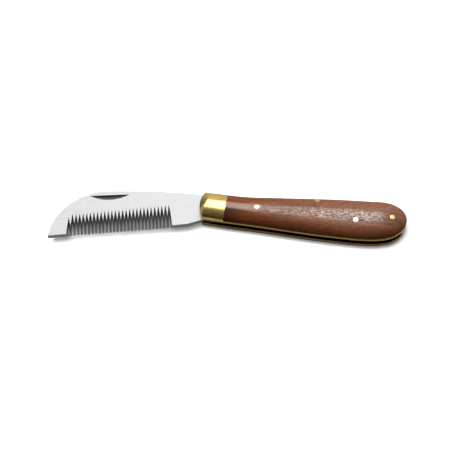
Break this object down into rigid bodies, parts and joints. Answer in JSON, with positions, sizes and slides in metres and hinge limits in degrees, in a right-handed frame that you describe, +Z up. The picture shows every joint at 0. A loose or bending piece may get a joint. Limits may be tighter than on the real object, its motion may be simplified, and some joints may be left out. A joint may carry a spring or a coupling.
{
  "type": "folding knife with a toothed blade",
  "caption": "Slipjoint folding knife with a comb-toothed blade, brass bolsters and liners, and wooden handle scales held by flush pins.",
  "frame": {"origin": "centre of the open knife's footprint, on the surface that it lies on", "axes": "-X towards the blade's tip, +Y towards the back of the knife, +Z up through the side with the nail nick"},
  "size_m": [0.179, 0.0306, 0.0131],
  "materials": {
    "blade_steel": "fine satin, ground lengthwise",
    "spring_steel": "satin",
    "bolster_brass": "polished, with fine lengthwise lines",
    "liner_brass": "ground edge, slightly tarnished",
    "pin_brass": "polished flush",
    "scale_wood": "oiled reddish-brown hardwood with open pores"
  },
  "bodies": {
    "handle": {"back_spring": "spring_steel", "mark_side_liner": "liner_brass", "pile_side_liner": "liner_brass", "mark_side_bolster": "bolster_brass", "pile_side_bolster": "bolster_brass", "mark_side_scale": "scale_wood", "pile_side_scale": "scale_wood", "pivot_pin": "bolster_brass", "spring_centre_pin": "pin_brass", "butt_pin": "pin_brass", "mark_front_scale_pin": "pin_brass", "mark_rear_scale_pin": "pin_brass", "pile_front_scale_pin": "pin_brass", "pile_rear_scale_pin": "pin_brass"},
    "blade": {"blade": "blade_steel"}
  },
  "joints": [
    {"name": "blade_pivot", "type": "hinge", "parent": "handle", "child": "blade", "pos_m": [-0.007, 0.00175, 0.00657], "axis": [0, 0, 1], "range_deg": [0, 171], "deforming": ["back_spring"]}
  ]
}
